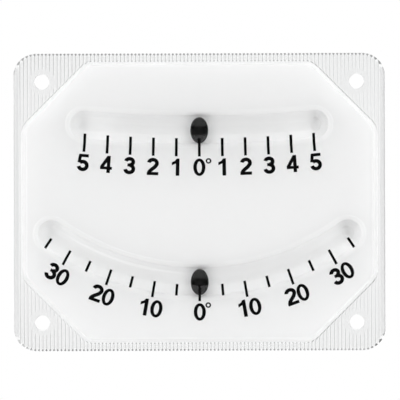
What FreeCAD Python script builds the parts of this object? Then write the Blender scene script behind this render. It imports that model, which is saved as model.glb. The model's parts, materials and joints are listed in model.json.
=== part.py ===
"""Ball inclinometer: a clear screw-on plate with two liquid-filled curved races, a black ball in each.

The back of the mounting plate lies in the XZ plane, centred on the origin; +X is right and +Z is up.
"Depth" is the distance in front of that face, so depth 5 is y = -5. Sketches on the XZ plane have their
normal along -Y, so their offsets and pad lengths are depths too. Each race is a round bore bent to an arc
that is concave upward: half of it is moulded into the back of the front cover, half into the dial plate.
"""
import FreeCAD
import Part
import Sketcher
import math
import os

SIZES = {
    # plate outline
    "plate_width": 103.5,
    "plate_height": 83.0,
    "plate_corner_radius": 6.5,
    # back plate and the reeding on its front
    "back_thickness": 1.5,
    "reed_pitch": 1.04,
    "reed_height": 0.2,
    "reed_relief": 0.02,
    # flange of the front cover, its screw holes and the smooth lands behind them
    "flange_thickness": 3.2,
    "flange_edge_radius": 0.6,
    "hole_diameter": 4.2,
    "hole_inset": 8.0,
    "land_diameter": 7.4,
    # raised octagonal panel of the front cover and the white plate in the pocket behind it
    "panel_border": 2.25,
    "panel_corner_cut": 18.0,
    "panel_corner_radius": 5.0,
    "panel_bevel": 1.6,
    "panel_wall": 1.5,
    "panel_side_wall": 1.6,
    "dial_clearance": 0.1,
    # balls, races, domes and liquid
    "ball_diameter": 5.0,
    "race_play": 0.25,
    "ball_clearance": 0.1,
    "groove_floor": 1.35,
    "dome_wall": 2.25,
    "dome_fillet": 1.0,
    "liquid_film": 0.03,
    "upper_race_height": 20.15,
    "upper_race_radius": 360.0,
    "upper_end_inset": 17.5,
    "lower_race_height": -22.0,
    "lower_race_radius": 70.5,
    "lower_end_inset": 8.46,
    # filling plugs
    "plug_diameter": 2.0,
    "plug_head_diameter": 4.0,
    "plug_head_thickness": 0.6,
    "plug_tip_gap": 0.05,
    "plug_tip_chamfer": 0.15,
    "plug_clearance": 0.02,
}

RACES = ("upper", "lower")
RACE_BORE = "(sizes.ball_diameter / 2 + sizes.race_play)"
DIAL_THICKNESS = f"({RACE_BORE} + sizes.groove_floor)"
BALL_DEPTH = f"(sizes.back_thickness + {DIAL_THICKNESS})"
FLANGE_DEPTH = "(sizes.back_thickness + sizes.flange_thickness)"
PANEL_DEPTH = f"({BALL_DEPTH} + sizes.panel_wall)"
PANEL_RISE = f"({PANEL_DEPTH} - {FLANGE_DEPTH})"
DOME_RADIUS = f"({RACE_BORE} + sizes.dome_wall)"
BALL_SAG = "(sizes.race_play - sizes.ball_clearance)"
CUT_OVERRUN = 1


def make_sheet(doc):
    """Spreadsheet of driving dimensions, one alias per row."""
    sheet = doc.addObject("Spreadsheet::Sheet", "sizes")
    for row, (alias, value) in enumerate(SIZES.items(), start=1):
        sheet.set(f"A{row}", alias)
        sheet.set(f"B{row}", str(value))
        sheet.setAlias(f"B{row}", alias)
    doc.recompute()


def value_of(item, expression):
    result = item.evalExpression(expression)
    return getattr(result, "Value", result)


def bind(item, **expressions):
    """Bind properties to expressions; a double underscore in a name stands for a dot."""
    for path, expression in expressions.items():
        item.setExpression(path.replace("__", "."), expression)


def new_body(doc, name):
    body = doc.addObject("PartDesign::Body", name)
    body.Label = name
    return body


def add_feature(body, kind, profile=None, **expressions):
    """PartDesign feature whose sizes follow expressions, computed at once."""
    feature = body.newObject(f"PartDesign::{kind}", f"{body.Name}_{kind}")
    if profile:
        feature.Profile = profile
    bind(feature, **expressions)
    body.Document.recompute()
    return feature


def sketch_on(body, role, **offsets):
    """Empty sketch on one of the body's own origin planes, moved by expressions along x, y and z."""
    sketch = body.newObject("Sketcher::SketchObject", f"{body.Name}_sketch")
    plane = next(item for item in body.Origin.OriginFeatures if item.Role == role)
    sketch.AttachmentSupport = (plane, [""])
    sketch.MapMode = "FlatFace"
    bind(sketch, **{f"AttachmentOffset__Base__{axis}": text for axis, text in offsets.items()})
    return sketch


def dimension(sketch, kind, *geometry, size):
    """Dimension whose value follows an expression."""
    index = sketch.addConstraint(Sketcher.Constraint(kind, *geometry, value_of(sketch, size)))
    sketch.setExpression(f"Constraints[{index}]", size)


def draw_loop(sketch, points):
    """Closed loop of straight lines through the points, in order."""
    corners = [FreeCAD.Vector(x, y, 0) for x, y in points]
    for start, end in zip(corners, corners[1:] + corners[:1]):
        sketch.addGeometry(Part.LineSegment(start, end), False)
    for index in range(len(corners)):
        following = (index + 1) % len(corners)
        sketch.addConstraint(Sketcher.Constraint("Coincident", index, 2, following, 1))


def draw_rectangle(sketch, half_width, half_height):
    """Rectangle centred on the sketch's origin."""
    x = value_of(sketch, half_width)
    y = value_of(sketch, half_height)
    draw_loop(sketch, [(-x, -y), (x, -y), (x, y), (-x, y)])
    sketch.addConstraint(Sketcher.Constraint("Symmetric", 0, 1, 0, 2, -2))
    sketch.addConstraint(Sketcher.Constraint("Symmetric", 1, 1, 1, 2, -1))
    sketch.addConstraint(Sketcher.Constraint("Symmetric", 0, 2, 3, 1, -1, 1))
    dimension(sketch, "DistanceX", -1, 1, 2, 1, size=half_width)
    dimension(sketch, "DistanceY", -1, 1, 2, 1, size=half_height)


def draw_octagon(sketch, inset):
    """Panel outline: a rectangle with 45 degree corners, all sides moved in by the inset."""
    half_width = f"sizes.plate_width / 2 - sizes.panel_border - {inset}"
    half_height = f"sizes.plate_height / 2 - sizes.panel_border - {inset}"
    cut = f"(sizes.panel_corner_cut - {inset} * (2 - sqrt(2)))"
    x = value_of(sketch, half_width)
    y = value_of(sketch, half_height)
    c = value_of(sketch, cut)
    right = [(x - c, -y), (x, c - y), (x, y - c), (x - c, y)]
    left = [(-across, up) for across, up in reversed(right)]
    draw_loop(sketch, right + left)
    sketch.addConstraint(Sketcher.Constraint("Symmetric", 0, 1, 6, 2, -2))
    sketch.addConstraint(Sketcher.Constraint("Symmetric", 3, 1, 4, 1, -2))
    sketch.addConstraint(Sketcher.Constraint("Symmetric", 1, 1, 1, 2, -1))
    sketch.addConstraint(Sketcher.Constraint("Symmetric", 5, 1, 5, 2, -1))
    sketch.addConstraint(Sketcher.Constraint("Symmetric", 2, 2, 7, 1, -1, 1))
    sketch.addConstraint(Sketcher.Constraint("Symmetric", 1, 2, 6, 1, -1, 1))
    dimension(sketch, "DistanceX", -1, 1, 2, 1, size=half_width)
    dimension(sketch, "DistanceX", -1, 1, 2, 2, size=f"{half_width} - {cut}")
    dimension(sketch, "DistanceY", -1, 1, 2, 1, size=f"{half_height} - {cut}")
    dimension(sketch, "DistanceY", -1, 1, 2, 2, size=half_height)


def draw_plate(sketch):
    draw_rectangle(sketch, "sizes.plate_width / 2", "sizes.plate_height / 2")


def draw_screw_circles(sketch, diameter):
    """Four circles at the screw holes, symmetric about both axes."""
    across = "sizes.plate_width / 2 - sizes.hole_inset"
    up = "sizes.plate_height / 2 - sizes.hole_inset"
    x = value_of(sketch, across)
    y = value_of(sketch, up)
    radius = value_of(sketch, diameter) / 2
    for centre in ((x, y), (-x, y), (-x, -y), (x, -y)):
        sketch.addGeometry(Part.Circle(FreeCAD.Vector(*centre, 0), FreeCAD.Vector(0, 0, 1), radius), False)
    sketch.addConstraint(Sketcher.Constraint("Symmetric", 0, 3, 1, 3, -2))
    sketch.addConstraint(Sketcher.Constraint("Symmetric", 0, 3, 2, 3, -1, 1))
    sketch.addConstraint(Sketcher.Constraint("Symmetric", 0, 3, 3, 3, -1))
    for circle in (1, 2, 3):
        sketch.addConstraint(Sketcher.Constraint("Equal", 0, circle))
    dimension(sketch, "DistanceX", -1, 1, 0, 3, size=across)
    dimension(sketch, "DistanceY", -1, 1, 0, 3, size=up)
    dimension(sketch, "Diameter", 0, size=diameter)


def edges_of(feature, wanted):
    """Names of the feature's edges that the test picks out."""
    return [f"Edge{i}" for i, edge in enumerate(feature.Shape.Edges, start=1) if wanted(edge)]


def round_edges(body, base, wanted, radius):
    fillet = body.newObject("PartDesign::Fillet", f"{body.Name}_Fillet")
    fillet.Base = (base, edges_of(base, wanted))
    bind(fillet, Radius=radius)
    body.Document.recompute()
    return fillet


def lies_at(depth):
    """Test for edges that lie whole at one depth."""
    def wanted(edge):
        box = edge.BoundBox
        return abs(box.YMin + depth) < 1e-4 and abs(box.YMax + depth) < 1e-4
    return wanted


def runs_between(near, far):
    """Test for straight edges that rise from one depth to the other."""
    def wanted(edge):
        box = edge.BoundBox
        return abs(box.YMax + near) < 1e-4 and abs(box.YMin + far) < 1e-4
    return wanted


def pad(body, draw, depth, length, **extra):
    """Pad a profile from one depth towards the front."""
    sketch = sketch_on(body, "XZ_Plane", z=depth)
    draw(sketch)
    return add_feature(body, "Pad", sketch, Length=length, **extra)


def pocket(body, draw, depth, length):
    """Cut a profile from one depth towards the front."""
    sketch = sketch_on(body, "XZ_Plane", z=depth)
    draw(sketch)
    cut = add_feature(body, "Pocket", sketch, Length=length)
    cut.Reversed = True
    body.Document.recompute()
    return cut


def arc_centre(race):
    """Height of the centre that a race is bent about."""
    return f"(sizes.{race}_race_height + sizes.{race}_race_radius)"


def half_span(race):
    """Distance from the middle of the panel to the centre of a race's round end, an inset in from its edge."""
    return f"(sizes.plate_width / 2 - sizes.panel_border - sizes.{race}_end_inset)"


def race_end(race, side):
    """Position of the centre of a race's round end; side is 1 for the right end, -1 for the left."""
    return {
        "Placement__Base__x": f"{side} * {half_span(race)}",
        "Placement__Base__y": f"-{BALL_DEPTH}",
        "Placement__Base__z": f"{arc_centre(race)} - sqrt(sizes.{race}_race_radius ^ 2 - {half_span(race)} ^ 2)",
    }


def race_section(body, race):
    """Sketch across the race at mid-span, its origin on the axis that the race is bent about."""
    return sketch_on(body, "YZ_Plane", y=arc_centre(race))


def sweep_race(body, kind, sketch, race):
    """Turn a race's cross-section about the arc's axis, as far to either side as the race goes."""
    feature = add_feature(body, kind, sketch, Angle=f"2 * asin({half_span(race)} / sizes.{race}_race_radius)")
    feature.ReferenceAxis = (sketch, ["H_Axis"])
    feature.Midplane = True
    body.Document.recompute()
    return feature


def bend_round_bar(body, race, radius, turned="Revolution", ball="AdditiveSphere"):
    """Round bar with ball ends along a race, added or, with Groove and SubtractiveSphere, cut away."""
    sketch = race_section(body, race)
    centre = FreeCAD.Vector(-value_of(sketch, BALL_DEPTH), -value_of(sketch, f"sizes.{race}_race_radius"), 0)
    sketch.addGeometry(Part.Circle(centre, FreeCAD.Vector(0, 0, 1), value_of(sketch, radius)), False)
    dimension(sketch, "DistanceX", 0, 3, -1, 1, size=BALL_DEPTH)
    dimension(sketch, "DistanceY", 0, 3, -1, 1, size=f"sizes.{race}_race_radius")
    dimension(sketch, "Radius", 0, size=radius)
    sweep_race(body, turned, sketch, race)
    for side in (1, -1):
        add_feature(body, ball, Radius=radius, **race_end(race, side))


def cut_race(body, race):
    bend_round_bar(body, race, RACE_BORE, "Groove", "SubtractiveSphere")


def raise_dome(body, race):
    """Half-round dome with quarter-ball ends over a race, its flat side at the race's depth."""
    sketch = race_section(body, race)
    depth = value_of(sketch, BALL_DEPTH)
    below = value_of(sketch, f"sizes.{race}_race_radius")
    radius = value_of(sketch, DOME_RADIUS)
    centre = FreeCAD.Vector(-depth, -below, 0)
    circle = Part.Circle(centre, FreeCAD.Vector(0, 0, 1), radius)
    sketch.addGeometry(Part.ArcOfCircle(circle, math.radians(90), math.radians(270)), False)
    lift = FreeCAD.Vector(0, radius, 0)
    sketch.addGeometry(Part.LineSegment(centre - lift, centre + lift), False)
    sketch.addConstraint(Sketcher.Constraint("Coincident", 0, 2, 1, 1))
    sketch.addConstraint(Sketcher.Constraint("Coincident", 0, 1, 1, 2))
    sketch.addConstraint(Sketcher.Constraint("PointOnObject", 0, 3, 1))
    sketch.addConstraint(Sketcher.Constraint("Vertical", 1))
    dimension(sketch, "DistanceX", 0, 3, -1, 1, size=BALL_DEPTH)
    dimension(sketch, "DistanceY", 0, 3, -1, 1, size=f"sizes.{race}_race_radius")
    dimension(sketch, "Radius", 0, size=DOME_RADIUS)
    sweep_race(body, "Revolution", sketch, race)
    for side in (1, -1):
        end = body.newObject("PartDesign::AdditiveSphere", f"{body.Name}_dome_end")
        end.Placement.Rotation = FreeCAD.Rotation(FreeCAD.Vector(1, 0, 0), 90)
        end.Angle1 = 0
        bind(end, Radius=DOME_RADIUS, **race_end(race, side))
        body.Document.recompute()


def make_back_plate(doc):
    """Clear plate that closes the back; its front is reeded except on a round land at each screw."""
    body = new_body(doc, "back_plate")
    plate = pad(body, draw_plate, "0", "sizes.back_thickness")
    thickness = value_of(plate, "sizes.back_thickness")
    round_edges(body, plate, runs_between(0, thickness), "sizes.plate_corner_radius")
    cut_reeding(body)
    pad(body, lambda sketch: draw_screw_circles(sketch, "sizes.land_diameter"), "0", "sizes.back_thickness")
    pocket(body, lambda sketch: draw_screw_circles(sketch, "sizes.hole_diameter"), "0", "sizes.back_thickness")
    return body


def draw_reed_gap(sketch, left, crest):
    """Section of the gap between two convex reeds, open towards the front."""
    x = -value_of(sketch, left)
    y = value_of(sketch, crest)
    pitch = value_of(sketch, "sizes.reed_pitch")
    height = value_of(sketch, "sizes.reed_height")
    radius = ((pitch / 2) ** 2 + height ** 2) / (2 * height)
    turn = math.asin(pitch / 2 / radius)
    for across, begin in ((x, math.pi * 1.5), (x + pitch, math.pi * 1.5 - turn)):
        circle = Part.Circle(FreeCAD.Vector(across, radius - y, 0), FreeCAD.Vector(0, 0, 1), radius)
        sketch.addGeometry(Part.ArcOfCircle(circle, begin, begin + turn), False)
    outside = -y - CUT_OVERRUN
    corners = [(x + pitch, -y), (x + pitch, outside), (x, outside), (x, -y)]
    for start, end in zip(corners, corners[1:]):
        line = Part.LineSegment(FreeCAD.Vector(*start, 0), FreeCAD.Vector(*end, 0))
        sketch.addGeometry(line, False)
    for index in range(5):
        sketch.addConstraint(Sketcher.Constraint("Coincident", index, 2, (index + 1) % 5, 1))
    sketch.addConstraint(Sketcher.Constraint("Vertical", 2))
    sketch.addConstraint(Sketcher.Constraint("Horizontal", 3))
    sketch.addConstraint(Sketcher.Constraint("Vertical", 4))
    sketch.addConstraint(Sketcher.Constraint("Vertical", 0, 3, 0, 1))
    sketch.addConstraint(Sketcher.Constraint("Vertical", 1, 3, 1, 2))
    sketch.addConstraint(Sketcher.Constraint("Horizontal", 0, 1, 1, 2))
    sketch.addConstraint(Sketcher.Constraint("Equal", 0, 1))
    dimension(sketch, "DistanceX", 0, 1, -1, 1, size=left)
    dimension(sketch, "DistanceY", 0, 1, -1, 1, size=crest)
    dimension(sketch, "DistanceX", 0, 1, 1, 2, size="sizes.reed_pitch")
    dimension(sketch, "DistanceY", 0, 1, 0, 2, size="sizes.reed_height")
    dimension(sketch, "DistanceY", 2, 2, 2, 1, size=f"{CUT_OVERRUN}")


def cut_reeding(body):
    """Gap between two reeds, repeated across the whole width of the plate."""
    count = "floor(sizes.plate_width / sizes.reed_pitch)"
    sketch = sketch_on(body, "XY_Plane", z=f"-sizes.plate_height / 2 - {CUT_OVERRUN}")
    draw_reed_gap(sketch, f"({count} * sizes.reed_pitch / 2)", "(sizes.back_thickness - sizes.reed_relief)")
    gap = add_feature(body, "Pocket", sketch, Length=f"sizes.plate_height + 2 * {CUT_OVERRUN}")
    gap.Reversed = True
    pattern = body.newObject("PartDesign::LinearPattern", "reeding")
    pattern.Originals = [gap]
    pattern.Direction = (sketch, ["H_Axis"])
    bind(pattern, Length=f"({count} - 1) * sizes.reed_pitch", Occurrences=count)
    body.Tip = pattern
    body.Document.recompute()


def make_front_cover(doc):
    """Clear moulding: flange, raised bevelled panel, two domes, half of each race in its back."""
    body = new_body(doc, "front_cover")
    flange = pad(body, draw_plate, "sizes.back_thickness", "sizes.flange_thickness")
    back = value_of(flange, "sizes.back_thickness")
    front = value_of(flange, FLANGE_DEPTH)
    face = value_of(flange, PANEL_DEPTH)
    corners = round_edges(body, flange, runs_between(back, front), "sizes.plate_corner_radius")
    round_edges(body, corners, lies_at(front), "sizes.flange_edge_radius")
    panel = pad(
        body,
        lambda sketch: draw_octagon(sketch, "0"),
        FLANGE_DEPTH,
        PANEL_RISE,
        TaperAngle=f"-atan(sizes.panel_bevel / {PANEL_RISE})",
    )
    round_edges(body, panel, runs_between(front, face), "sizes.panel_corner_radius")
    for race in RACES:
        raise_dome(body, race)
    domes = body.Tip
    at_face = lies_at(face)

    def meets_a_dome(edge):
        sides = domes.Shape.ancestorsOfType(edge, Part.Face)
        return at_face(edge) and any(isinstance(side.Surface, (Part.Toroid, Part.Sphere)) for side in sides)

    round_edges(body, domes, meets_a_dome, "sizes.dome_fillet")
    seat = pocket(
        body,
        lambda sketch: draw_octagon(sketch, "sizes.panel_side_wall"),
        "sizes.back_thickness",
        DIAL_THICKNESS,
    )
    floor = value_of(seat, BALL_DEPTH)
    round_edges(body, seat, runs_between(back, floor), "sizes.panel_corner_radius - sizes.panel_side_wall")
    for race in RACES:
        cut_race(body, race)
    pocket(
        body,
        lambda sketch: draw_screw_circles(sketch, "sizes.hole_diameter"),
        "sizes.back_thickness",
        "sizes.flange_thickness",
    )
    return body


def make_dial_plate(doc):
    """White plate behind the panel with the rear half of each race and a stepped filling hole at its end."""
    body = new_body(doc, "dial_plate")
    inset = "(sizes.panel_side_wall + sizes.dial_clearance)"
    plate = pad(body, lambda sketch: draw_octagon(sketch, inset), "sizes.back_thickness", DIAL_THICKNESS)
    back = value_of(plate, "sizes.back_thickness")
    front = value_of(plate, BALL_DEPTH)
    round_edges(body, plate, runs_between(back, front), f"sizes.panel_corner_radius - {inset}")
    for race in RACES:
        cut_race(body, race)
        cut_plug_hole(body, race, "sizes.plug_diameter", DIAL_THICKNESS)
        cut_plug_hole(body, race, "sizes.plug_head_diameter", "sizes.plug_head_thickness")
    return body


def cut_plug_hole(body, race, diameter, depth):
    """Round hole from the back at the right end of a race, with the plug's clearance round it."""
    end = race_end(race, 1)
    across = end["Placement__Base__x"]
    up = end["Placement__Base__z"]
    sketch = sketch_on(body, "XZ_Plane", x=across, y=up, z="sizes.back_thickness")
    radius = f"{diameter} / 2 + sizes.plug_clearance"
    circle = Part.Circle(FreeCAD.Vector(0, 0, 0), FreeCAD.Vector(0, 0, 1), value_of(sketch, radius))
    sketch.addGeometry(circle, False)
    sketch.addConstraint(Sketcher.Constraint("Coincident", 0, 3, -1, 1))
    dimension(sketch, "Radius", 0, size=radius)
    cut = add_feature(body, "Pocket", sketch, Length=depth)
    cut.Reversed = True
    body.Document.recompute()


def make_ball(doc, race):
    """Ball at rest at the bottom of its race."""
    body = new_body(doc, f"{race}_ball")
    add_feature(body, "AdditiveSphere", Radius="sizes.ball_diameter / 2")
    bind(
        body,
        Placement__Base__y=f"-{BALL_DEPTH}",
        Placement__Base__z=f"sizes.{race}_race_height - {BALL_SAG}",
    )
    return body


def make_liquid(doc, race):
    """Liquid that fills a race, with room in it for the ball at rest."""
    body = new_body(doc, f"{race}_damping_fluid")
    bend_round_bar(body, race, f"({RACE_BORE} - sizes.liquid_film)")
    add_feature(
        body,
        "SubtractiveSphere",
        Radius="sizes.ball_diameter / 2 + sizes.liquid_film",
        Placement__Base__y=f"-{BALL_DEPTH}",
        Placement__Base__z=f"sizes.{race}_race_height - {BALL_SAG}",
    )
    return body


def make_plug(doc, race):
    """Turned plug: a head flush with the dial plate's back and a shank that ends short of the race."""
    body = new_body(doc, f"{race}_fill_plug")
    sketch = sketch_on(body, "XY_Plane")
    head = "sizes.plug_head_diameter / 2"
    shank = "sizes.plug_diameter / 2"
    step = "sizes.plug_head_thickness"
    length = "sizes.groove_floor - sizes.plug_tip_gap"
    chamfer = "sizes.plug_tip_chamfer"
    tip = f"{shank} - {chamfer}"
    x_head = value_of(sketch, head)
    x_shank = value_of(sketch, shank)
    x_tip = value_of(sketch, tip)
    y_step = -value_of(sketch, step)
    y_tip = -value_of(sketch, length)
    y_chamfer = y_tip + value_of(sketch, chamfer)
    draw_loop(sketch, [
        (0, 0),
        (x_head, 0),
        (x_head, y_step),
        (x_shank, y_step),
        (x_shank, y_chamfer),
        (x_tip, y_tip),
        (0, y_tip),
    ])
    sketch.addConstraint(Sketcher.Constraint("Coincident", 0, 1, -1, 1))
    for line in (0, 2, 5):
        sketch.addConstraint(Sketcher.Constraint("Horizontal", line))
    for line in (1, 3, 6):
        sketch.addConstraint(Sketcher.Constraint("Vertical", line))
    dimension(sketch, "DistanceX", -1, 1, 0, 2, size=head)
    dimension(sketch, "DistanceX", -1, 1, 3, 1, size=shank)
    dimension(sketch, "DistanceX", -1, 1, 4, 2, size=tip)
    dimension(sketch, "DistanceY", 1, 2, -1, 1, size=step)
    dimension(sketch, "DistanceY", 5, 2, -1, 1, size=length)
    dimension(sketch, "DistanceY", 4, 2, 4, 1, size=chamfer)
    turned = add_feature(body, "Revolution", sketch, Angle="360")
    turned.ReferenceAxis = (sketch, ["V_Axis"])
    place = race_end(race, 1)
    place["Placement__Base__y"] = "-sizes.back_thickness"
    bind(body, **place)
    return body


def check(doc, bodies):
    """Stop when any feature failed or any piece isn't one valid solid."""
    doc.recompute()
    for item in doc.Objects:
        if "Invalid" in item.State or "Error" in item.State:
            raise RuntimeError(f"{item.Name} failed: {item.State}")
    for body in bodies:
        if body.Shape.isNull() or not body.Shape.isValid() or len(body.Shape.Solids) != 1:
            raise RuntimeError(f"{body.Label} isn't one valid solid")


def main():
    doc = FreeCAD.newDocument("inclinometer")
    make_sheet(doc)
    bodies = [make_back_plate(doc), make_front_cover(doc), make_dial_plate(doc)]
    for race in RACES:
        bodies += [make_ball(doc, race), make_liquid(doc, race), make_plug(doc, race)]
    check(doc, bodies)
    os.makedirs("parts", exist_ok=True)
    for body in bodies:
        body.Shape.exportStep(f"parts/{body.Label}.step")


main()
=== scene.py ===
"""Ball inclinometer: a clear plate and cover, a white dial plate between them, two black balls in liquid.

Shapes are worked out in millimetres in the frame of the CAD model, x to the right and z up. "Depth" is the
distance in front of the plate's back, so depth 5 is y = -5. The meshes are in metres.
"""
import json
import math

import bpy
import numpy as np
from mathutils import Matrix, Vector
from mathutils.geometry import delaunay_2d_cdt


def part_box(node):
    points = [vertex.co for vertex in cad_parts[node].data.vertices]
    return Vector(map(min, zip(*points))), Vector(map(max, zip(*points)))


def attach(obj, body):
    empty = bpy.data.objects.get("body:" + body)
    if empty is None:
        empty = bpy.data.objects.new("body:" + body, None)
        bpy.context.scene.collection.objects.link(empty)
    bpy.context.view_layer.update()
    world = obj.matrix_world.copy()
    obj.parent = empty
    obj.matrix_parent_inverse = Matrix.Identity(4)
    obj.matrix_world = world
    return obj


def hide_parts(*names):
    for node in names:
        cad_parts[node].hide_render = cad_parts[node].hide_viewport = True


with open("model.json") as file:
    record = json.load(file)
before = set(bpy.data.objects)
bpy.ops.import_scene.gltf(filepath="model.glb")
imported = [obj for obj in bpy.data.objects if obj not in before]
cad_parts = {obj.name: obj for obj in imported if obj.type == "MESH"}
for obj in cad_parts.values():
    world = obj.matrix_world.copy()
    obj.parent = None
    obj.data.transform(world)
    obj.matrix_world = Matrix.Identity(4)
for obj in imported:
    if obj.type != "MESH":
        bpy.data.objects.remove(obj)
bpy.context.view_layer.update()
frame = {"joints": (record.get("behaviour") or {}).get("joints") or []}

scene = bpy.context.scene
MM = 0.001


# Camera
# It looks square at the front of the plate from 1 m, rolled by a fifth of a degree. At half the plate's depth
# its picture is 111.2 mm wide. The plate's middle lies a touch left of the picture's middle and below it.
CAMERA_DISTANCE = 1000.0
VIEW_WIDTH = 111.2
VIEW_MIDDLE = (0.15, 0.56)
VIEW_ROLL = math.radians(0.18)
VIEW_DEPTH = 5.0
SENSOR_WIDTH = 36.0

camera = bpy.data.objects.new("camera", bpy.data.cameras.new("camera"))
camera.data.sensor_width = SENSOR_WIDTH
camera.data.lens = SENSOR_WIDTH * CAMERA_DISTANCE / VIEW_WIDTH
camera.location = Vector((VIEW_MIDDLE[0], -CAMERA_DISTANCE - VIEW_DEPTH, VIEW_MIDDLE[1])) * MM
camera.rotation_euler = (math.pi / 2, VIEW_ROLL, 0)
scene.collection.objects.link(camera)
scene.camera = camera


# Front cover
# One clear acrylic moulding: a flange with four screw holes, a raised octagonal panel with a bevelled edge,
# and a half-round dome over each ball race. Its back has a pocket for the dial plate and the front half of
# each race.
cover_low, cover_high = (np.array(corner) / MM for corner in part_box("front_cover"))
ball_low, ball_high = (np.array(corner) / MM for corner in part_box("upper_ball"))
PLATE_CORNER = 6.5
BACK_PLATE_THICKNESS = -cover_high[1]
FLANGE_THICKNESS = 3.2
FLANGE_FRONT = BACK_PLATE_THICKNESS + FLANGE_THICKNESS
FLANGE_EDGE = 0.9
HOLE_RADIUS = 2.1
HOLE_INSET = 8.0
HOLE_EDGE = 0.15
PANEL_BORDER = 2.25
PANEL_CUT = 18.0
PANEL_CORNER = 5.0
PANEL_BEVEL = 1.6
PANEL_WALL = 1.6
PANEL_FRONT = 7.1
PANEL_EDGE = 0.25
RACE_DEPTH = -(ball_low[1] + ball_high[1]) / 2
RACE_BORE = 2.75
RACE_BEND = {"upper": 360.0, "lower": 70.5}
DOME_RADIUS = -cover_low[1] - RACE_DEPTH
DOME_FILLET = 1.0
ACRYLIC_INDEX = 1.49
LIQUID_INDEX = 1.46
MERGE_STEP = 1e-4
# Where a profile's face looks, as an angle from straight outward
BACKWARD = math.radians(-90)
FORWARD = math.radians(90)
INWARD = math.radians(180)


def corner_loop(corners, steps=10):
    """Loop round a convex outline, from its corner centres in anticlockwise order: at each centre the outward
    direction turns evenly from one side's to the next. A loop is bases and outward directions."""
    corners = np.array(corners, float)
    along = np.roll(corners, -1, axis=0) - corners
    facing = np.arctan2(-along[:, 0], along[:, 1])
    turn = (facing - np.roll(facing, 1)) % math.tau
    angle = np.roll(facing, 1)[:, None] + turn[:, None] * np.linspace(0, 1, steps)
    angle = angle.ravel()
    return np.repeat(corners, steps, axis=0), np.stack([np.cos(angle), np.sin(angle)], axis=1)


def octagon_loop(inset):
    """Loop round the panel whose corner centres lie on the panel's outline moved in by the inset."""
    x = cover_high[0] - PANEL_BORDER - inset
    z = cover_high[2] - PANEL_BORDER - inset
    cut = PANEL_CUT - inset * (2 - math.sqrt(2))
    right = [(x - cut, -z), (x, cut - z), (x, z - cut), (x - cut, z)]
    return corner_loop(right + [(-across, -up) for across, up in right])


def circle_loop(x, z, steps=64):
    """Loop round a point: each base is the point, and the outward directions turn evenly about it."""
    angle = np.arange(steps) * math.tau / steps
    return np.tile([x, z], (steps, 1)), np.stack([np.cos(angle), np.sin(angle)], axis=1)


def race_joint(race):
    """Joint that a race's ball turns on."""
    return next(joint for joint in frame["joints"] if joint["name"] == f"{race}_ball_roll")


def race_pivot(race):
    """Height of the axis that a race is bent about, which is its joint's."""
    return race_joint(race)["pos_m"][2] / MM


def race_span(race):
    """Half the angle that a race spans, which is its joint's limit."""
    return math.radians(race_joint(race)["range_deg"][1])


def race_loop(race, steps=72, end_steps=36):
    """Loop round a race's centre line: along its lower side, half a turn about the right end, back along the
    upper side and half a turn about the left end. The bases lie on the bend, at bend radius and angle."""
    half = race_span(race)
    side = np.linspace(-half, half, steps, endpoint=False)
    cap = np.linspace(-FORWARD, FORWARD, end_steps, endpoint=False)
    bend = np.concatenate([side, np.full(end_steps, half), -side, np.full(end_steps, -half)])
    angle = np.concatenate([side - FORWARD, half + cap, FORWARD - side, math.pi - half + cap])
    radius = RACE_BEND[race]
    base = np.stack([radius * np.sin(bend), race_pivot(race) - radius * np.cos(bend)], axis=1)
    return base, np.stack([np.cos(angle), np.sin(angle)], axis=1)


def outline(loop, reach):
    """Ring, which is a closed line of places, round a loop at base + reach * outward."""
    base, outward = loop
    return base + reach * outward


def line(start, end, lean):
    """Straight stretch of a profile, from one (reach, depth) to another; lean is where its face looks."""
    return np.array([[start[0], end[0]], [start[1], end[1]], [lean, lean]])


def arc(reach, depth, radius, start, end, hollow=False, steps=8):
    """Round stretch of a profile, at centre + radius * (cos, sin) of an angle that is 0 outward and a quarter
    turn to the front. A hollow one faces its centre."""
    angle = np.linspace(start, end, steps + 1)
    lean = angle + math.pi * hollow
    return np.stack([reach + radius * np.cos(angle), depth + radius * np.sin(angle), lean])


def carry(loop, *stretches, finish=0):
    """Patch swept by a profile carried round a loop: point = base + reach * outward at the profile's depth,
    and normal = outward turned to the front by the profile's lean."""
    base, outward = loop
    reach, depth, lean = np.hstack(stretches)[:, :, None]
    places = base + reach[:, :, None] * outward
    points = np.stack([places[..., 0], np.broadcast_to(-depth, places.shape[:2]), places[..., 1]], axis=-1)
    tilt = np.cos(lean)
    front = np.broadcast_to(-np.sin(lean), places.shape[:2])
    normals = np.stack([tilt * outward[:, 0], front, tilt * outward[:, 1]], axis=-1)

    def quads(values):
        beside = np.roll(values, -1, axis=1)
        return np.stack([values[:-1], beside[:-1], beside[1:], values[1:]], axis=2).reshape(-1, 4, 3)

    return quads(points), quads(normals), finish


def inside(places, ring):
    """True where a place lies inside a ring: its edges cross a ray from there an odd number of times."""
    start, end = ring, np.roll(ring, -1, axis=0)
    px, pz = places[:, None, 0], places[:, None, 1]
    spans = (start[:, 1] > pz) != (end[:, 1] > pz)
    rise = np.where(end[:, 1] == start[:, 1], 1.0, end[:, 1] - start[:, 1])
    crossing = start[:, 0] + (pz - start[:, 1]) / rise * (end[:, 0] - start[:, 0])
    return np.sum(spans & (px < crossing), axis=1) % 2 == 1


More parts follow.
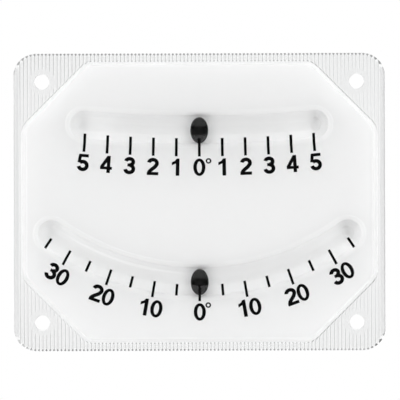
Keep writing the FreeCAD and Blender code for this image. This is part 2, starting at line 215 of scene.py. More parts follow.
def fill(*shapes, creases=np.zeros((0, 2, 2))):
    """Anticlockwise triangles of what lies inside any of the shapes. A shape is a list of rings, the later
    ones holes in the first. Creases are lines that the triangles follow, with nothing cut away."""
    rings = [ring for shape in shapes for ring in shape]
    edges = [np.stack([ring, np.roll(ring, -1, axis=0)], axis=1) for ring in rings]
    ends = np.concatenate([*edges, creases]).reshape(-1, 2)
    _, first, number = np.unique(np.round(ends, 9), axis=0, return_index=True, return_inverse=True)
    given = [Vector(point) for point in ends[first]]
    pairs = number.reshape(-1, 2).tolist()
    whole_hull, closeness = 0, 1e-6
    places, _, faces, sources, *_ = delaunay_2d_cdt(given, pairs, [], whole_hull, closeness)
    # A place that the triangulation was given goes back to its exact value.
    points = np.array([tuple(place) for place in places])
    kept = [place for place, source in enumerate(sources) if source]
    points[kept] = ends[first[[sources[place][0] for place in kept]]]
    triangles = points[np.array(faces)]
    middle = triangles.mean(axis=1)
    kept = np.zeros(len(triangles), bool)
    for shape in shapes:
        kept |= np.sum([inside(middle, ring) for ring in shape], axis=0) % 2 == 1
    triangles = triangles[kept]
    one, two = triangles[:, 1] - triangles[:, 0], triangles[:, 2] - triangles[:, 0]
    clockwise = one[:, 0] * two[:, 1] < one[:, 1] * two[:, 0]
    triangles[clockwise] = triangles[clockwise][:, ::-1]
    return triangles


def sheet(triangles, depth, normals, finish=0):
    """Patch of flat triangles moved to a depth, one for all or one for each corner, with normals likewise."""
    depth = np.broadcast_to(depth, triangles.shape[:2])
    points = np.stack([triangles[..., 0], -depth, triangles[..., 1]], axis=-1)
    return points, np.broadcast_to(normals, points.shape).astype(float), finish


def make_piece(name, patches, *materials):
    """Object from patches of faces: corners that round to the same merge step share a vertex, faces that
    shrink to nothing are dropped, and each face is turned to agree with its normals, which the mesh keeps."""
    corners, normals, sizes, finishes = [], [], [], []
    for points, directions, finish in patches:
        area = np.cross(points, np.roll(points, -1, axis=1)).sum(axis=1)
        turned = np.sum(area * directions.mean(axis=1), axis=1) < 0
        points = np.where(turned[:, None, None], points[:, ::-1], points)
        directions = np.where(turned[:, None, None], directions[:, ::-1], directions)
        corners.append(points.reshape(-1, 3))
        normals.append(directions.reshape(-1, 3))
        sizes.append(np.full(len(points), points.shape[1]))
        finishes.append(np.full(len(points), finish))
    corners, normals = np.concatenate(corners), np.concatenate(normals)
    sizes, finishes = np.concatenate(sizes), np.concatenate(finishes)
    cells = np.round(corners / MERGE_STEP).astype(int)
    _, first, number = np.unique(cells, axis=0, return_index=True, return_inverse=True)
    number = number.ravel()
    # A corner goes if its face's next one is the same vertex, and so does a face of fewer than three.
    face = np.repeat(np.arange(len(sizes)), sizes)
    last = np.cumsum(sizes) - 1
    following = np.arange(1, len(corners) + 1)
    following[last] = last - sizes + 1
    kept = number != number[following]
    counts = np.bincount(face[kept], minlength=len(sizes))
    kept &= counts[face] > 2
    counts = np.bincount(face[kept], minlength=len(sizes))
    whole = counts > 0
    used, loop_vertices = np.unique(number[kept], return_inverse=True)
    mesh = bpy.data.meshes.new(name)
    mesh.vertices.add(len(used))
    mesh.vertices.foreach_set("co", (corners[first[used]] * MM).ravel())
    mesh.loops.add(len(loop_vertices))
    mesh.loops.foreach_set("vertex_index", loop_vertices.astype(np.int32))
    mesh.polygons.add(int(whole.sum()))
    starts = np.cumsum(counts[whole]) - counts[whole]
    mesh.polygons.foreach_set("loop_start", starts.astype(np.int32))
    mesh.polygons.foreach_set("material_index", finishes[whole].astype(np.int32))
    mesh.update(calc_edges=True)
    mesh.shade_smooth()
    mesh.normals_split_custom_set(normals[kept])
    for material in materials:
        mesh.materials.append(material)
    piece = bpy.data.objects.new(name, mesh)
    scene.collection.objects.link(piece)
    return piece


class Value:
    """Output of a node. Arithmetic on it adds Math nodes, and ["Name"] is another output of the same node."""

    def __init__(self, nodes, socket):
        self.nodes = nodes
        self.socket = socket

    def __getitem__(self, name):
        return Value(self.nodes, self.socket.node.outputs[name])

    def maths(self, operation, first, second):
        return self.nodes.add("ShaderNodeMath", {"operation": operation}, {0: first, 1: second})

    def __add__(self, other):
        return self.maths("ADD", self, other)

    __radd__ = __add__

    def __sub__(self, other):
        return self.maths("SUBTRACT", self, other)

    def __rsub__(self, other):
        return self.maths("SUBTRACT", other, self)

    def __mul__(self, other):
        return self.maths("MULTIPLY", self, other)

    __rmul__ = __mul__

    def step(self, low, high):
        """Smooth step from 0 at the low value to 1 at the high one."""
        sockets = {"Value": self, "From Min": low, "From Max": high}
        return self.nodes.add("ShaderNodeMapRange", {"interpolation_type": "SMOOTHSTEP"}, sockets)


class Nodes:
    """Node tree of a material or of the world, started afresh."""

    def __init__(self, owner):
        owner.use_nodes = True
        self.tree = owner.node_tree
        self.tree.nodes.clear()

    def add(self, kind, settings=None, sockets=None):
        """Node of a kind: its settings first, then its sockets' values or links. Gives its first output."""
        node = self.tree.nodes.new(kind)
        for name, value in (settings or {}).items():
            setattr(node, name, value)
        for key, value in (sockets or {}).items():
            if isinstance(value, Value):
                self.tree.links.new(value.socket, node.inputs[key])
            else:
                node.inputs[key].default_value = value
        return Value(self, node.outputs[0]) if node.outputs else None

    def place(self):
        """Position in the object's coordinates."""
        return self.add("ShaderNodeTexCoord")["Object"]

    def noise(self, scale, detail=2.0):
        """Noise from 0 to 1, with so many swells to a metre and so many finer layers on them."""
        sockets = {"Vector": self.place(), "Scale": scale, "Detail": detail}
        return self.add("ShaderNodeTexNoise", None, sockets)

    def distance(self, point):
        """Distance from a point, both in the object's coordinates."""
        sockets = {0: self.place(), 1: point}
        return self.add("ShaderNodeVectorMath", {"operation": "DISTANCE"}, sockets)["Value"]

    def blend(self, factor, one, two):
        """Colour a factor of the way from one to two."""
        sockets = {0: factor, 6: one, 7: two}
        return self.add("ShaderNodeMix", {"data_type": "RGBA"}, sockets)[2]

    def bump(self, height, distance):
        """Normal of a surface raised by height * distance."""
        return self.add("ShaderNodeBump", None, {"Height": height, "Distance": distance})

    def principled(self, surface):
        """Shader of a surface, given by its sockets."""
        return self.add("ShaderNodeBsdfPrincipled", None, surface)

    def show(self, shader):
        """Ends a material's tree with its shader."""
        self.add("ShaderNodeOutputMaterial", None, {"Surface": shader})


def new_material(name):
    """Material and its node tree."""
    material = bpy.data.materials.new(name)
    return material, Nodes(material)


def grey(level):
    """Colour with the same level in each channel."""
    return (level, level, level, 1.0)


def clear_plastic(name, haze=0.0):
    """Clear moulded plastic: a trace of tint, faint flow waves left by the mould and a haze of fine wear."""
    material, nodes = new_material(name)
    faint_blue = (0.985, 0.99, 0.99, 1.0)
    wear = 0.03 * nodes.noise(900.0, detail=4.0).step(0.55, 0.8)
    waves = nodes.noise(90.0, detail=1.0)
    wave_height = 0.02
    nodes.show(nodes.principled({
        "Base Color": nodes.blend(nodes.noise(40.0), faint_blue, grey(0.995)),
        "Roughness": haze + wear,
        "IOR": ACRYLIC_INDEX,
        "Transmission Weight": 1.0,
        "Normal": nodes.bump(waves, wave_height * MM),
    }))
    return material


def clear_liquid(name, index, tint):
    """Clear liquid, or a wall that it wets: a faint tint that drifts a little, and no haze. The index is the
    ratio of the two sides' indices."""
    material, nodes = new_material(name)
    drift = 0.01
    nodes.show(nodes.principled({
        "Base Color": nodes.blend(nodes.noise(60.0), grey(tint), grey(tint + drift)),
        "Roughness": 0.0,
        "IOR": index,
        "Transmission Weight": 1.0,
    }))
    return material


clear_acrylic = clear_plastic("clear_acrylic")
wetted_acrylic = clear_liquid("wetted_acrylic", index=ACRYLIC_INDEX / LIQUID_INDEX, tint=0.99)

plate_corners = [(x * (cover_high[0] - PLATE_CORNER), z * (cover_high[2] - PLATE_CORNER))
                 for x, z in ((-1, -1), (1, -1), (1, 1), (-1, 1))]
plate_loop = corner_loop(plate_corners)
panel_loop = octagon_loop(PANEL_CORNER)
hole_loops = [circle_loop(x * (cover_high[0] - HOLE_INSET), z * (cover_high[2] - HOLE_INSET))
              for x in (-1, 1) for z in (-1, 1)]
race_loops = {race: race_loop(race) for race in RACE_BEND}

# The bevel's slope touches a small hollow at its foot and a small round at its top.
panel_rise = PANEL_FRONT - FLANGE_FRONT
bevel_lean = math.atan2(PANEL_BEVEL, panel_rise)
bevel_foot = PANEL_CORNER + PANEL_EDGE * (1 - math.sin(bevel_lean)) / math.cos(bevel_lean)
bevel_run = PANEL_EDGE + math.sin(bevel_lean) * (panel_rise - PANEL_EDGE)
bevel_top = PANEL_CORNER - bevel_run / math.cos(bevel_lean)
bevel = (
    arc(bevel_foot, FLANGE_FRONT + PANEL_EDGE, PANEL_EDGE, BACKWARD, bevel_lean - math.pi, hollow=True),
    arc(bevel_top, PANEL_FRONT - PANEL_EDGE, PANEL_EDGE, bevel_lean, FORWARD),
)
plate_edge = (
    line((PLATE_CORNER, BACK_PLATE_THICKNESS), (PLATE_CORNER, FLANGE_FRONT - FLANGE_EDGE), 0),
    arc(PLATE_CORNER - FLANGE_EDGE, FLANGE_FRONT - FLANGE_EDGE, FLANGE_EDGE, 0, FORWARD),
)
hole_wall = (
    line((HOLE_RADIUS, BACK_PLATE_THICKNESS), (HOLE_RADIUS, FLANGE_FRONT - HOLE_EDGE), INWARD),
    arc(HOLE_RADIUS + HOLE_EDGE, FLANGE_FRONT - HOLE_EDGE, HOLE_EDGE, INWARD, FORWARD),
)
# The fillet at a dome's foot touches both the dome and the panel.
fillet_depth = PANEL_FRONT + DOME_FILLET
fillet_reach = math.sqrt((DOME_RADIUS + DOME_FILLET) ** 2 - (fillet_depth - RACE_DEPTH) ** 2)
dome_foot = math.atan2(fillet_depth - RACE_DEPTH, fillet_reach)
dome = (
    arc(fillet_reach, fillet_depth, DOME_FILLET, BACKWARD, dome_foot - math.pi, hollow=True, steps=10),
    arc(0, RACE_DEPTH, DOME_RADIUS, dome_foot, FORWARD, steps=32),
)
pocket_reach = PANEL_CORNER - PANEL_WALL
to_front, to_back = (0, -1, 0), (0, 1, 0)

plate_front = [outline(plate_loop, PLATE_CORNER - FLANGE_EDGE), outline(panel_loop, bevel_foot)]
plate_front += [outline(loop, HOLE_RADIUS + HOLE_EDGE) for loop in hole_loops]
plate_back = [outline(plate_loop, PLATE_CORNER), outline(panel_loop, pocket_reach)]
plate_back += [outline(loop, HOLE_RADIUS) for loop in hole_loops]
panel_front = [outline(panel_loop, bevel_top)]
panel_front += [outline(loop, fillet_reach) for loop in race_loops.values()]
pocket_floor = [outline(panel_loop, pocket_reach)]
pocket_floor += [outline(loop, RACE_BORE) for loop in race_loops.values()]
cover_patches = [
    carry(plate_loop, *plate_edge),
    sheet(fill(plate_front), FLANGE_FRONT, to_front),
    carry(panel_loop, *bevel),
    sheet(fill(panel_front), PANEL_FRONT, to_front),
    sheet(fill(plate_back), BACK_PLATE_THICKNESS, to_back),
    carry(panel_loop, line((pocket_reach, BACK_PLATE_THICKNESS), (pocket_reach, RACE_DEPTH), INWARD)),
    sheet(fill(pocket_floor), RACE_DEPTH, to_back),
]
cover_patches += [carry(loop, *hole_wall) for loop in hole_loops]
for loop in race_loops.values():
    cover_patches.append(carry(loop, *dome))
    bore = arc(0, RACE_DEPTH, RACE_BORE, 0, FORWARD, hollow=True, steps=24)
    cover_patches.append(carry(loop, bore, finish=1))

front_cover = make_piece("clear_front_cover", cover_patches, clear_acrylic, wetted_acrylic)
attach(front_cover, "housing")
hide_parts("front_cover")


# Back plate
# A clear acrylic sheet that closes the pocket behind the dial plate. Fine upright reeds are moulded on its
# front, with a smooth round land at each screw hole that meets the cover, and past the last reed on either
# side the front is level and matt.
REED_PITCH = 1.04
REED_HEIGHT = 0.2
REED_CLEARANCE = 0.02
REED_BORDER = 1.0
REED_STEPS = 10
LAND_RADIUS = 3.7
LAND_CLEARANCE = 0.005
COLUMN_END = 60.0
MATT_HAZE = 0.6
REED_CREST = BACK_PLATE_THICKNESS - REED_CLEARANCE
LAND_FRONT = BACK_PLATE_THICKNESS - LAND_CLEARANCE
reed_radius = (REED_PITCH ** 2 / 4 + REED_HEIGHT ** 2) / (2 * REED_HEIGHT)
reed_count = math.floor(2 * (cover_high[0] - REED_BORDER) / REED_PITCH)
first_crest = -reed_count * REED_PITCH / 2


def reed_offset(x, near):
    """Distance from x to the crest of the reed that the place near lies on. Past the first and last crest the
    face is level, so the distance is 0 there."""
    crest = first_crest + REED_PITCH * np.round((near - first_crest) / REED_PITCH)
    return np.where(np.abs(near) > -first_crest, 0, x - crest)


def reed_depth(x):
    """Depth of the reeded face: a circle's arc about the middle of each reed."""
    return REED_CREST - reed_radius + np.sqrt(reed_radius ** 2 - reed_offset(x, x) ** 2)


def reeded_sheet(triangles):
    """Patches of triangles laid on the reeded face, each with the normals of its own reed: first the reeds,
    then the level border in the second finish."""
    offset = reed_offset(triangles[..., 0], triangles[..., 0].mean(axis=1, keepdims=True))
    tilt = offset / reed_radius
    normals = np.stack([tilt, -np.sqrt(1 - tilt ** 2), np.zeros_like(tilt)], axis=-1)
    border = np.abs(triangles[..., 0]).max(axis=1) > MERGE_STEP - first_crest
    depth = reed_depth(triangles[..., 0])
    parts = enumerate((~border, border))
    return [sheet(triangles[part], depth[part], normals[part], finish) for finish, part in parts]


def rim(triangles):
    """Edges that only one of the triangles has, as start and end places with the outside on their right."""
    edges = np.stack([triangles, np.roll(triangles, -1, axis=1)], axis=2).reshape(-1, 2, 2)
    cells = np.round(edges / MERGE_STEP).astype(np.int64)
    row = 10 ** 8
    codes = np.sort(cells[..., 0] * row + cells[..., 1], axis=1)
    _, number, count = np.unique(codes, axis=0, return_inverse=True, return_counts=True)
    return edges[count[number.ravel()] == 1]


def walls(edges, low, high):
    """Patch of upright faces on edges, from one depth to another at each end."""
    along = edges[:, 1] - edges[:, 0]
    outward = np.stack([along[:, 1], np.zeros(len(along)), -along[:, 0]], axis=1)
    outward /= np.linalg.norm(outward, axis=1, keepdims=True)
    round_face = [(0, low), (1, low), (1, high), (0, high)]
    corners = [np.stack([edges[:, end, 0], -depth[:, end], edges[:, end, 1]], axis=1)
               for end, depth in round_face]
    return np.stack(corners, axis=1), np.repeat(outward[:, None], 4, axis=1), 0


def level(edges, depth):
    """The same depth at both ends of each edge."""
    return np.full(edges.shape[:2], float(depth))


column = first_crest + REED_PITCH * np.arange(reed_count * REED_STEPS + 1) / REED_STEPS
column_ends = [np.full_like(column, end) for end in (-COLUMN_END, COLUMN_END)]
columns = np.stack([np.stack([column, end], axis=1) for end in column_ends], axis=1)
plate_outline = outline(plate_loop, PLATE_CORNER)
lands = [outline(loop, LAND_RADIUS) for loop in hole_loops]
holes = [outline(loop, HOLE_RADIUS) for loop in hole_loops]
reeded = fill([plate_outline] + lands, creases=columns)
back_face = fill([plate_outline] + holes, creases=columns)
land_faces = [fill([land, hole], creases=columns) for land, hole in zip(lands, holes)]

back_rim = rim(back_face)
from_holes = [np.linalg.norm(back_rim - loop[0][0], axis=2).max(axis=1) for loop in hole_loops]
round_hole = np.min(from_holes, axis=0) < LAND_RADIUS
edge_rim, hole_rim = back_rim[~round_hole], back_rim[round_hole]
back_patches = [
    *reeded_sheet(reeded),
    sheet(back_face, 0, to_back),
    walls(edge_rim, level(edge_rim, 0), reed_depth(edge_rim[..., 0])),
    walls(hole_rim, level(hole_rim, 0), level(hole_rim, LAND_FRONT)),
]
for land, loop in zip(land_faces, hole_loops):
    land_rim = rim(land)
    from_hole = np.linalg.norm(land_rim - loop[0][0], axis=2).min(axis=1)
    step_rim = land_rim[from_hole > (LAND_RADIUS + HOLE_RADIUS) / 2]
    back_patches.append(sheet(land, LAND_FRONT, to_front))
    back_patches.append(walls(step_rim, reed_depth(step_rim[..., 0]), level(step_rim, LAND_FRONT)))

matt_acrylic = clear_plastic("matt_acrylic", haze=MATT_HAZE)
back_plate = make_piece("reeded_back_plate", back_patches, clear_acrylic, matt_acrylic)
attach(back_plate, "housing")
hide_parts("back_plate")


# Dial plate
# A milky white plastic plate cast into the cover's pocket, with no air left between them. The rear half of
# each race is a groove in its front, and a stepped hole for the filling plug comes through at each right-hand
# end. The solvent that seals a plug has made the plastic round it opaque.
CAST = 0.01
GROOVE_OVERLAP = 0.005
GROOVE_RINGS = 15
PLUG_HOLE = 1.02
PLUG_HOLE_SURROUND = 1.2 * PLUG_HOLE
PLUG_SEAT = 2.02
PLUG_HEAD_THICKNESS = 0.6
LIGHT_SPREAD = 5.0
WELD_RADIUS = 2.5
WELD_FADED = 5.0
GROOVE = RACE_BORE - GROOVE_OVERLAP
PLUG_SEAT_DEPTH = BACK_PLATE_THICKNESS + PLUG_HEAD_THICKNESS
dial_reach = pocket_reach + CAST
dial_front = RACE_DEPTH + CAST
groove_lip = math.asin(CAST / GROOVE)


def from_race(race, places):
    """Distance of each place from a race's centre line, and the direction straight away from it."""
    pivot, half, radius = race_pivot(race), race_span(race), RACE_BEND[race]
    bend = np.clip(np.arctan2(places[..., 0], pivot - places[..., 1]), -half, half)
    foot = np.stack([radius * np.sin(bend), pivot - radius * np.cos(bend)], axis=-1)
    away = places - foot
    distance = np.linalg.norm(away, axis=-1)
    return distance, away / np.maximum(distance, 1e-9)[..., None]


def groove_sheet(race, plug_loop):
    """Patches of a groove and of the plug's hole in it: the groove's depth follows a circle's arc with the
    distance from the race's line, and so does the mouth of the hole."""
    loop = race_loops[race]
    lip = GROOVE * math.cos(groove_lip)
    turns = np.linspace(0, FORWARD, GROOVE_RINGS + 2)[1:-1]
    rings = [outline(loop, GROOVE * math.cos(turn)) for turn in turns]
    creases = np.concatenate([np.stack([ring, np.roll(ring, -1, axis=0)], axis=1) for ring in rings])
    clear = np.linalg.norm(creases - plug_loop[0][0], axis=2).min(axis=1) > PLUG_HOLE_SURROUND
    triangles = fill([outline(loop, lip), outline(plug_loop, PLUG_HOLE)], creases=creases[clear])
    distance, away = from_race(race, triangles)
    rise = np.sqrt(np.maximum(GROOVE ** 2 - distance ** 2, 0))
    depth = np.where(distance > lip - MERGE_STEP, dial_front, RACE_DEPTH - rise)
    normals = np.stack([-away[..., 0] * distance, -rise, -away[..., 1] * distance], axis=-1) / GROOVE
    edges = rim(triangles)
    mouth = edges[np.linalg.norm(edges - plug_loop[0][0], axis=2).max(axis=1) < PLUG_HOLE_SURROUND]
    mouth_depth = RACE_DEPTH - np.sqrt(GROOVE ** 2 - from_race(race, mouth)[0] ** 2)
    return sheet(triangles, depth, normals), walls(mouth, level(mouth, PLUG_SEAT_DEPTH), mouth_depth)


def plastic(name, colours, fineness, height, spread=0.0, welds=()):
    """Satin plastic: two levels of grey mottled together, and a fine grain in its gloss and surface. Light
    spreads inside it over so many millimetres, but not round a weld, where the solvent has made it opaque."""
    material, nodes = new_material(name)
    mottle = nodes.noise(120.0, detail=3.0)
    grain = nodes.noise(fineness, detail=3.0)
    surface = {
        "Base Color": nodes.blend(mottle, grey(colours[0]), grey(colours[1])),
        "Roughness": 0.5 + 0.1 * grain,
        "Normal": nodes.bump(grain, height * MM),
    }
    shader = nodes.principled(surface)
    if spread:
        surface["Subsurface Weight"] = 1.0
        surface["Subsurface Radius"] = (1.0, 1.0, 1.0)
        surface["Subsurface Scale"] = spread * MM
        milky = nodes.principled(surface)
        clear_of_welds = 1.0
        for weld in welds:
            clear_of_welds = nodes.distance(weld).step(WELD_RADIUS * MM, WELD_FADED * MM) * clear_of_welds
        shader = nodes.add("ShaderNodeMixShader", None, {0: clear_of_welds, 1: shader, 2: milky})
    nodes.show(shader)
    return material


plug_loops = {}
for race, (base, _) in race_loops.items():
    plug_loops[race] = circle_loop(*base[base[:, 0].argmax()])
plug_middles = [loop[0][0] for loop in plug_loops.values()]
welds = [(middle[0] * MM, (GROOVE - RACE_DEPTH) * MM, middle[1] * MM) for middle in plug_middles]
white_plastic = plastic("white_plastic", (0.945, 0.955), fineness=3000.0, height=0.002,
                        spread=LIGHT_SPREAD, welds=welds)
dial_outline = outline(panel_loop, dial_reach)
groove_lips = [outline(loop, GROOVE * math.cos(groove_lip)) for loop in race_loops.values()]
plug_seats = [outline(loop, PLUG_SEAT) for loop in plug_loops.values()]
dial_patches = [
    carry(panel_loop, line((dial_reach, BACK_PLATE_THICKNESS), (dial_reach, dial_front), 0)),
    sheet(fill([dial_outline] + groove_lips), dial_front, to_front),
    sheet(fill([dial_outline] + plug_seats), BACK_PLATE_THICKNESS, to_back),
]
for race, loop in plug_loops.items():
    dial_patches += [
        *groove_sheet(race, loop),
        carry(loop, line((PLUG_HOLE, PLUG_SEAT_DEPTH), (PLUG_SEAT, PLUG_SEAT_DEPTH), BACKWARD)),
        carry(loop, line((PLUG_SEAT, PLUG_SEAT_DEPTH), (PLUG_SEAT, BACK_PLATE_THICKNESS), INWARD)),
    ]
dial_plate = make_piece("white_dial_plate", dial_patches, white_plastic)
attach(dial_plate, "housing")
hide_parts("dial_plate")


# Filling plugs
# A turned white plastic plug with a flat head closes the hole that each race was filled through. It goes in
# from the back, before the back plate, and its tip is hollowed to the race's bore.
PLUG_SHANK = 1.0
PLUG_HEAD = 2.0
PLUG_TURN = math.asin(PLUG_SHANK / GROOVE)
PLUG_RIM = RACE_DEPTH - GROOVE * math.cos(PLUG_TURN)
plug_plastic = plastic("plug_plastic", (0.94, 0.95), fineness=2500.0, height=0.004)
plug_profile = (
    line((0, BACK_PLATE_THICKNESS), (PLUG_HEAD, BACK_PLATE_THICKNESS), BACKWARD),
    line((PLUG_HEAD, BACK_PLATE_THICKNESS), (PLUG_HEAD, PLUG_SEAT_DEPTH), 0),
    line((PLUG_HEAD, PLUG_SEAT_DEPTH), (PLUG_SHANK, PLUG_SEAT_DEPTH), FORWARD),
    line((PLUG_SHANK, PLUG_SEAT_DEPTH), (PLUG_SHANK, PLUG_RIM), 0),
    arc(0, RACE_DEPTH, GROOVE, BACKWARD + PLUG_TURN, BACKWARD, hollow=True),
)
for race, loop in plug_loops.items():
    plug = make_piece(f"{race}_plug", [carry(loop, *plug_profile)], plug_plastic)
    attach(plug, "housing")
    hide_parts(f"{race}_fill_plug")


# Damping liquid
# A clear mineral oil fills each race without a bubble and slows the ball. The race's wall bends the light on
# its way into the liquid, so the liquid's own surface has index 1. It closes round the ball wherever that is.
LIQUID_CLEARANCE = 0.002
LIQUID_TINT = 0.93
damping_liquid = clear_liquid("damping_liquid", index=1.0, tint=LIQUID_TINT)
for race, loop in race_loops.items():
    surface = arc(0, RACE_DEPTH, RACE_BORE - LIQUID_CLEARANCE, BACKWARD, FORWARD, steps=32)
    liquid = make_piece(f"{race}_liquid", [carry(loop, surface)], damping_liquid)
    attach(liquid, "housing")
    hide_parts(f"{race}_damping_fluid")


# Balls
# Two 5 mm bearing balls of polished and blackened steel, one at the bottom of each race. The liquid on them
# takes away most of their shine.
BALL_RADIUS = 2.5
OILED_INDEX = 1.09


def black_finish(name, fineness, layers, colours, roughness, index, height):
    """Black with fine scuffs: one noise leads from the first grey and roughness to the second, and raises the
    surface by so many millimetres. The index sets how much it shines."""
    material, nodes = new_material(name)
    scuffs = nodes.noise(fineness, layers)
    nodes.show(nodes.principled({
        "Base Color": nodes.blend(scuffs, grey(colours[0]), grey(colours[1])),
        "Roughness": roughness[0] + (roughness[1] - roughness[0]) * scuffs,
        "IOR": index,
        "Normal": nodes.bump(scuffs, height * MM),
    }))
    return material


black_steel = black_finish("black_steel", fineness=1500.0, layers=4.0, colours=(0.010, 0.016),
                           roughness=(0.15, 0.40), index=OILED_INDEX, height=0.001)
for race in RACE_BEND:
    low, high = (np.array(corner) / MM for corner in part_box(f"{race}_ball"))
    loop = circle_loop(0, (low[2] + high[2]) / 2)
    skin = arc(0, RACE_DEPTH, BALL_RADIUS, BACKWARD, FORWARD, steps=48)
    ball = make_piece(f"{race}_black_ball", [carry(loop, skin)], black_steel)
    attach(ball, f"{race}_ball")
    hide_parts(f"{race}_ball")


# Printed scales
# Black ink on the cover's front, its underside painted white to lift the shade that the marks cast on the
# dial: a scale of degrees round each race, on the foot of the dome and the panel below it. A mark follows the
# surface and stands a fiftieth of a millimetre proud.
INK_PROUD = 0.02
INK_KEYED = 0.01
INK_STRIP = 0.3
INK_INDEX = 1.08
WIDENING = 1.04
STROKE = 1.02
SCALE = {"upper": range(-5, 6), "lower": range(-35, 36, 5)}
NUMBERED_EVERY = {"upper": 1, "lower": 10}
TICK_WIDTH = {"upper": 0.74, "lower": 0.69}
TICK_TOP = {"upper": 362.5, "lower": 71.4}
NUMBERED_TICK = {"upper": 5.0, "lower": 4.6}
SHORT_TICK = 3.25
FIGURE_RADIUS = {"upper": 370.5, "lower": 79.0}
FIGURE_PITCH = 3.4
DEGREE_SHIFT = {"upper": (2.55, 1.75), "lower": (2.35, 1.9)}
dome_profile = np.hstack(dome)[:, ::-1]


def on_front(places):
    """Depth and normal of the cover's front at each place, read off the dome's profile by the distance from
    the nearer race's line; further out the panel is flat."""
    found = [from_race(race, places) for race in RACE_BEND]
    nearer = found[0][0] < found[1][0]
    distance = np.where(nearer, found[0][0], found[1][0])
    away = np.where(nearer[..., None], found[0][1], found[1][1])
    reach, depth, lean = dome_profile
    lean = np.interp(distance, reach, lean)
    front = np.interp(distance, reach, depth)
    normals = np.stack([np.cos(lean) * away[..., 0], -np.sin(lean), np.cos(lean) * away[..., 1]], axis=-1)
    return front, normals


def bow(u, v, across, up, start, end, steps=20):
    """Points on an ellipse's arc, at centre + (across * cos, up * sin) of angles in degrees."""
    angle = np.radians(np.linspace(start, end, steps))
    return np.stack([u + across * np.cos(angle), v + up * np.sin(angle)], axis=1)


def stroke(points, width=STROKE):
    """Outline of a pen stroke of even width along a path: its points moved to both sides."""
    points = np.array(points, float)
    along = np.gradient(points, axis=0)
    side = np.stack([-along[:, 1], along[:, 0]], axis=1) / np.linalg.norm(along, axis=1, keepdims=True)
    return [np.concatenate([points + side * width / 2, (points - side * width / 2)[::-1]])]


def bar(left, bottom, right, top):
    """Upright rectangle."""
    return [np.array([(left, bottom), (right, bottom), (right, top), (left, top)], float)]


def digit(figure):
    """Shapes of a plain bold figure or of the degree sign about its own middle, in strokes, bars and bows. A
    figure is 4.8 mm high."""
    if figure == "0":
        return [[bow(0, 0, 1.62, 2.42, 0, 354, 60), bow(0, 0, 0.66, 1.6, 0, 354, 60)]]
    if figure == "1":
        flag = [(0.9, 2.38), (0.16, 2.38), (-0.36, 1.7), (-1.14, 1.34), (-1.14, 0.46), (-0.08, 1.0),
                (0.9, 1.0)]
        return [bar(-0.08, -2.38, 0.9, 2.2), [np.array(flag)]]
    if figure == "2":
        top = bow(0.02, 0.96, 1.08, 0.96, 172, -32)
        down = [(0.93, 0.43), (0.53, -0.12), (-0.32, -0.82), (-0.85, -1.35), (-1.06, -1.9)]
        return [stroke(np.concatenate([top, down])), bar(-1.55, -2.38, 1.54, -1.5)]
    if figure == "3":
        top = stroke(bow(-0.02, 1.06, 0.98, 0.86, 170, -80))
        bottom = stroke(bow(-0.02, -0.88, 1.1, 1.02, 80, -172))
        return [top, bottom, bar(-0.55, -0.26, 0.25, 0.6)]
    if figure == "4":
        return [bar(0.16, -2.38, 1.1, 2.38), bar(-1.6, -1.44, 1.6, -0.62),
                stroke([(-1.28, -0.95), (0.52, 2.02)], 0.9)]
    if figure == "5":
        return [bar(-1.05, 1.52, 1.42, 2.38), stroke([(-0.76, 2.2), (-1.05, -0.05)], 0.84),
                stroke(bow(0, -0.82, 1.1, 1.09, 138, -168))]
    return [[bow(0, 0, 0.76, 0.76, 0, 350, 36), bow(0, 0, 0.36, 0.36, 0, 350, 36)]]


def laid_round(race, bend, radius, shapes, shift=(0, 0)):
    """Shapes moved on to the dial: widened a little, upright at a bend angle, their origin at a radius from
    the race's pivot and then shifted across and up."""
    right = np.array([math.cos(bend), math.sin(bend)])
    up = np.array([-math.sin(bend), math.cos(bend)])
    middle = np.array([0, race_pivot(race)]) - radius * up

    def lay(places):
        return middle + (WIDENING * places[:, :1] + shift[0]) * right + (places[:, 1:] + shift[1]) * up

    return [[lay(places) for places in shape] for shape in shapes]


def print_mark(shapes):
    """Patches of one mark: its face and its underside, painted white to lift the shade that the mark casts on
    the dial, which follow the cover's front in narrow strips, and the wall between them."""
    corners = np.concatenate([loop for shape in shapes for loop in shape])
    low, high = corners.min(axis=0) - 1, corners.max(axis=0) + 1
    rows = np.arange(low[1], high[1], INK_STRIP)
    strips = np.stack([np.stack([np.full_like(rows, x), rows], axis=1) for x in (low[0], high[0])], axis=1)
    triangles = fill(*shapes, creases=strips)
    depth, normals = on_front(triangles)
    edges = rim(triangles)
    edge_depth, _ = on_front(edges)
    return [
        sheet(triangles, depth + INK_PROUD, normals),
        # The underside is painted white: painted light that lifts the shade the mark casts on the dial behind
        # it.
        sheet(triangles, depth - INK_KEYED, -normals, finish=1),
        walls(edges, edge_depth - INK_KEYED, edge_depth + INK_PROUD),
    ]


black_ink = black_finish("black_ink", fineness=2200.0, layers=3.0, colours=(0.002, 0.005),
                         roughness=(0.30, 0.45), index=INK_INDEX, height=0.003)
# White on the ink's underside is painted light, which lifts the shade that the marks cast on the dial.
shade_lifting_underside = plastic("white_underside_lifting_shade", (0.86, 0.9), fineness=3000.0, height=0.002)
for race, degrees in SCALE.items():
    half = TICK_WIDTH[race] / 2
    marks = []
    for degree in degrees:
        bend = math.radians(degree)
        numbered = degree % NUMBERED_EVERY[race] == 0
        length = NUMBERED_TICK[race] if numbered else SHORT_TICK
        marks.append(laid_round(race, bend, TICK_TOP[race], [bar(-half, -length, half, 0)]))
        figures = str(abs(degree)) if numbered else ""
        for place, figure in enumerate(figures):
            shift = (FIGURE_PITCH * (place - (len(figures) - 1) / 2), 0)
            marks.append(laid_round(race, bend, FIGURE_RADIUS[race], digit(figure), shift))
    marks.append(laid_round(race, 0, FIGURE_RADIUS[race], digit("degree"), DEGREE_SHIFT[race]))
    patches = [patch for mark in marks for patch in print_mark(mark)]
    scale = make_piece(f"{race}_scale", patches, black_ink, shade_lifting_underside)
    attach(scale, "housing")


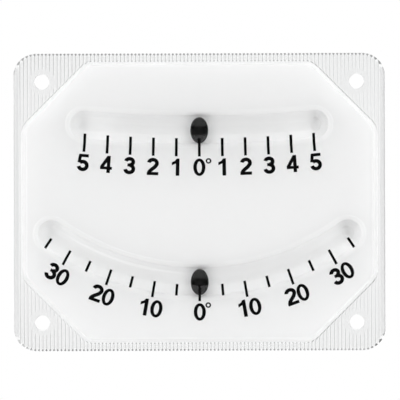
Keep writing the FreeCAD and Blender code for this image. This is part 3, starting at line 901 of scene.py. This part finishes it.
# Floor
# A plain pale floor below the plate, out of the camera's sight, that fades into the white surroundings.
FLOOR_DROP = 45.0
FLOOR_RADIUS = 140.0
FLOOR_FADE = 10.0
FLOOR_SIDES = 96


def floor_finish():
    """Pale mottled matt paint, which turns to plain white light with the distance from the middle."""
    material, nodes = new_material("pale_floor")
    speck = nodes.noise(400.0, detail=4.0)
    matt = nodes.principled({
        "Base Color": nodes.blend(speck, grey(0.80), grey(0.84)),
        "Roughness": 0.6 + 0.2 * speck,
    })
    white = nodes.add("ShaderNodeEmission", None, {"Strength": 1.0})
    far = nodes.distance((0, 0, 0)).step(FLOOR_FADE * MM, FLOOR_RADIUS * MM)
    nodes.show(nodes.add("ShaderNodeMixShader", None, {0: far, 1: matt, 2: white}))
    return material


_, floor_edge = circle_loop(0, 0, FLOOR_SIDES)
floor_points = np.column_stack([floor_edge, np.zeros(FLOOR_SIDES)]) * FLOOR_RADIUS * MM
floor_mesh = bpy.data.meshes.new("floor")
floor_mesh.from_pydata(floor_points.tolist(), [], [list(range(FLOOR_SIDES))])
floor_mesh.materials.append(floor_finish())
floor = bpy.data.objects.new("floor", floor_mesh)
floor.location = (0, 0, (cover_low[2] - FLOOR_DROP) * MM)
scene.collection.objects.link(floor)


# Light
# A white room at the level that shows a colour as it is, with a large soft box on each side of the camera and
# a small lamp above it. Round the camera it is dark, and above that dim. The white wall behind the plate has
# dark gaps, which the reeds pick up as lines. A camera ray that passes the plate sees plain white.
BOX_EDGE = (18, 38)
GAP_EDGE = (14, 18)
GAP_SIDE = 0.44
GAP_HEIGHT = 0.31
GAP_BACK = 0.9
LEFT, RIGHT = -1, 1
world = bpy.data.worlds.new("studio")
scene.world = world
nodes = Nodes(world)
direction = nodes.add("ShaderNodeTexCoord")["Generated"]


def patch_of_sky(toward, inner, outer):
    """1 within the inner angle of a direction, in degrees, falling smoothly to 0 at the outer one."""
    axis = Vector(toward).normalized()
    cosine = nodes.add("ShaderNodeVectorMath", {"operation": "DOT_PRODUCT"}, {0: direction, 1: axis})["Value"]
    return cosine.step(math.cos(math.radians(outer)), math.cos(math.radians(inner)))


def gaps(side, upper, lower):
    """A dark gap above the plate's height and one below it, on one side of the wall, each by its darkness."""
    high = patch_of_sky((side * GAP_SIDE, GAP_BACK, GAP_HEIGHT), *GAP_EDGE)
    low = patch_of_sky((side * GAP_SIDE, GAP_BACK, -GAP_HEIGHT), *GAP_EDGE)
    return upper * high + lower * low


camera_hood = patch_of_sky((0, -1, -0.15), inner=20, outer=36)
dim_ceiling = 0.4 * patch_of_sky((0, -0.7, 0.7), inner=15, outer=40)
ceiling_lamp = 1.6 * patch_of_sky((0.23, -0.62, 0.75), inner=6, outer=14)
left_box = patch_of_sky((-1, -1, 0.3), *BOX_EDGE)
right_box = 0.75 * patch_of_sky((1, -1, 0.3), *BOX_EDGE)
room = (1 - camera_hood) * (1 - dim_ceiling)
wall = (1 - gaps(LEFT, upper=0.85, lower=0.7)) * (1 - gaps(RIGHT, upper=0.4, lower=0.6))
studio = room * wall + left_box + right_box + ceiling_lamp
seen = nodes.add("ShaderNodeLightPath")["Is Camera Ray"]
light = seen + (1 - seen) * studio
backdrop = nodes.add("ShaderNodeBackground", None, {"Color": grey(1.0), "Strength": light})
nodes.add("ShaderNodeOutputWorld", None, {"Surface": backdrop})

scene.view_settings.view_transform = "Standard"
# Light crosses many clear walls on its way to the dial and back.
scene.cycles.max_bounces = 32
scene.cycles.diffuse_bounces = 12
scene.cycles.glossy_bounces = 24
scene.cycles.transmission_bounces = 24
scene.cycles.blur_glossy = 0
